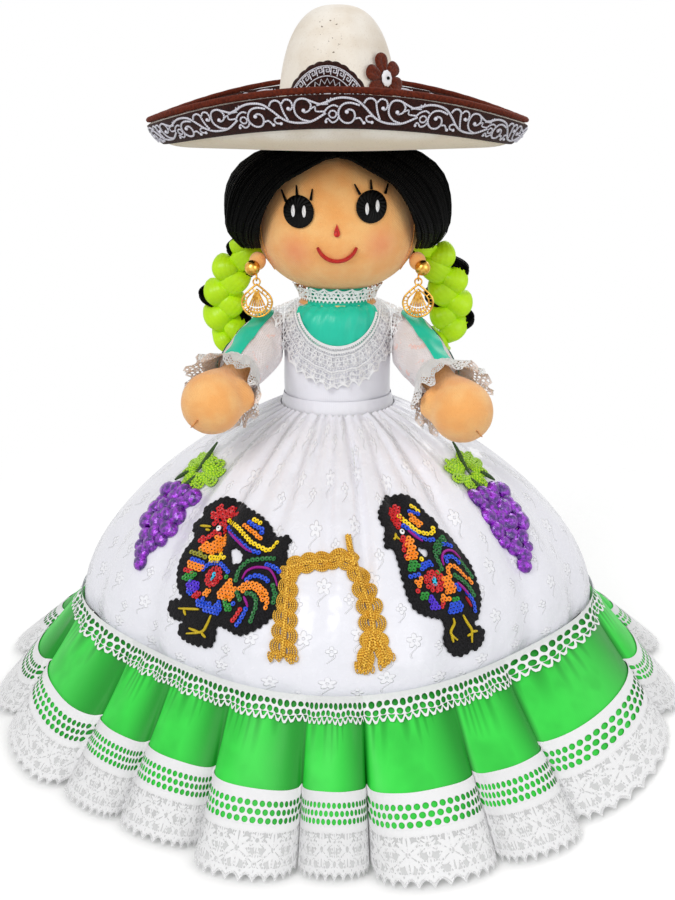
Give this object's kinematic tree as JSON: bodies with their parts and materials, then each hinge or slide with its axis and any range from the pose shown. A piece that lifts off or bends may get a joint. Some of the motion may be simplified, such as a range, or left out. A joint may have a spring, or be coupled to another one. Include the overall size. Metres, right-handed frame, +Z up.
{
  "type": "rag doll",
  "caption": "Standing rag doll in a bell skirt, flounce, laced bodice, brimmed hat and plaits; its head, arms, legs, earrings and hat can move.",
  "frame": {"origin": "on the table, under the middle of the skirt's hem", "axes": "+Z up through the doll's head, -Y the way the face looks, +X to the right of someone facing the doll"},
  "size_m": [0.422, 0.4096, 0.3999],
  "materials": {
    "black_thread": "satin stitch in black thread",
    "dark_felt": "dark brown felt with white embroidery",
    "felt": "speckled off-white felt",
    "gold": "polished",
    "gold_braid": "metallic gold galloon",
    "grape": "faceted purple beads",
    "green_satin": "bright green satin",
    "lace": "white cotton lace",
    "leaf": "lime crocheted thread",
    "lime_satin": "glossy lime satin ribbon",
    "net": "stiff net",
    "red_thread": "satin stitch in red thread",
    "satin": "white satin",
    "sequins": "cup sequins in several colours, black felt edge",
    "sheer": "sheer printed organza",
    "shoe_leather": "plain black",
    "skin": "matte felted cloth",
    "teal_satin": "teal satin",
    "velvet": "reddish-brown velvet",
    "yarn": "black yarn"
  },
  "bodies": {
    "trunk": {"skirt": "satin", "flounce": "green_satin", "hem_lace": "lace", "heading_lace": "lace", "petticoat": "net", "torso": "skin", "bodice": "satin", "yoke": "teal_satin", "bib_lace": "lace", "collar_lace": "lace", "waistband": "satin", "rooster_left": "sequins", "rooster_right": "sequins", "grapes_left": "grape", "grapes_right": "grape", "grape_leaves_left": "leaf", "grape_leaves_right": "leaf", "arch_left": "gold_braid", "arch_right": "gold_braid", "arch_top": "gold_braid"},
    "leg_left": {"leg_left": "skin", "shoe_left": "shoe_leather"},
    "leg_right": {"leg_right": "skin", "shoe_right": "shoe_leather"},
    "arm_left": {"arm_left": "skin", "sleeve_left": "sheer", "ribbon_front_left": "teal_satin", "ribbon_side_left": "teal_satin", "cuff_lace_left": "lace"},
    "arm_right": {"arm_right": "skin", "sleeve_right": "sheer", "ribbon_front_right": "teal_satin", "ribbon_side_right": "teal_satin", "cuff_lace_right": "lace"},
    "head": {"head": "skin", "eye_left": "black_thread", "eye_right": "black_thread", "nose": "red_thread", "mouth": "red_thread", "hair_back": "yarn", "hair_left": "yarn", "hair_right": "yarn", "plait_ribbon_left": "lime_satin", "plait_hair_left": "yarn", "plait_ribbon_right": "lime_satin", "plait_hair_right": "yarn", "ear_left": "skin", "earring_bead_left": "gold", "ear_right": "skin", "earring_bead_right": "gold"},
    "earring_left": {"earring_drop_left": "gold"},
    "earring_right": {"earring_drop_right": "gold"},
    "hat": {"hat_felt": "felt", "brim_band_outer": "dark_felt", "brim_band_inner": "dark_felt", "hat_binding": "velvet", "crown_patch": "dark_felt", "hat_flower": "velvet", "flower_button": "lace"}
  },
  "joints": [
    {"name": "head_turn", "type": "hinge", "parent": "trunk", "child": "head", "pos_m": [0, 0, 0.248], "axis": [0, 0, 1], "range_deg": [-10, 10]},
    {"name": "hat_lift", "type": "slide", "parent": "head", "child": "hat", "axis": [0, 0, 1], "range_m": [0, 0.09]},
    {"name": "arm_left_raise", "type": "hinge", "parent": "trunk", "child": "arm_left", "pos_m": [-0.038, -0.002, 0.223], "axis": [-1, 0, 0], "range_deg": [-4, 18]},
    {"name": "leg_left_swing", "type": "hinge", "parent": "trunk", "child": "leg_left", "pos_m": [-0.012, 0, 0.1502], "axis": [-1, 0, 0], "range_deg": [-20, 35]},
    {"name": "earring_left_swing", "type": "hinge", "parent": "head", "child": "earring_left", "pos_m": [-0.04394, -0.0211, 0.2582], "axis": [1, 0, 0], "range_deg": [-15, 15]},
    {"name": "arm_right_raise", "type": "hinge", "parent": "trunk", "child": "arm_right", "pos_m": [0.038, -0.002, 0.223], "axis": [-1, 0, 0], "range_deg": [-4, 18]},
    {"name": "leg_right_swing", "type": "hinge", "parent": "trunk", "child": "leg_right", "pos_m": [0.012, 0, 0.1502], "axis": [-1, 0, 0], "range_deg": [-20, 35]},
    {"name": "earring_right_swing", "type": "hinge", "parent": "head", "child": "earring_right", "pos_m": [0.04394, -0.0211, 0.2582], "axis": [1, 0, 0], "range_deg": [-15, 15]}
  ]
}
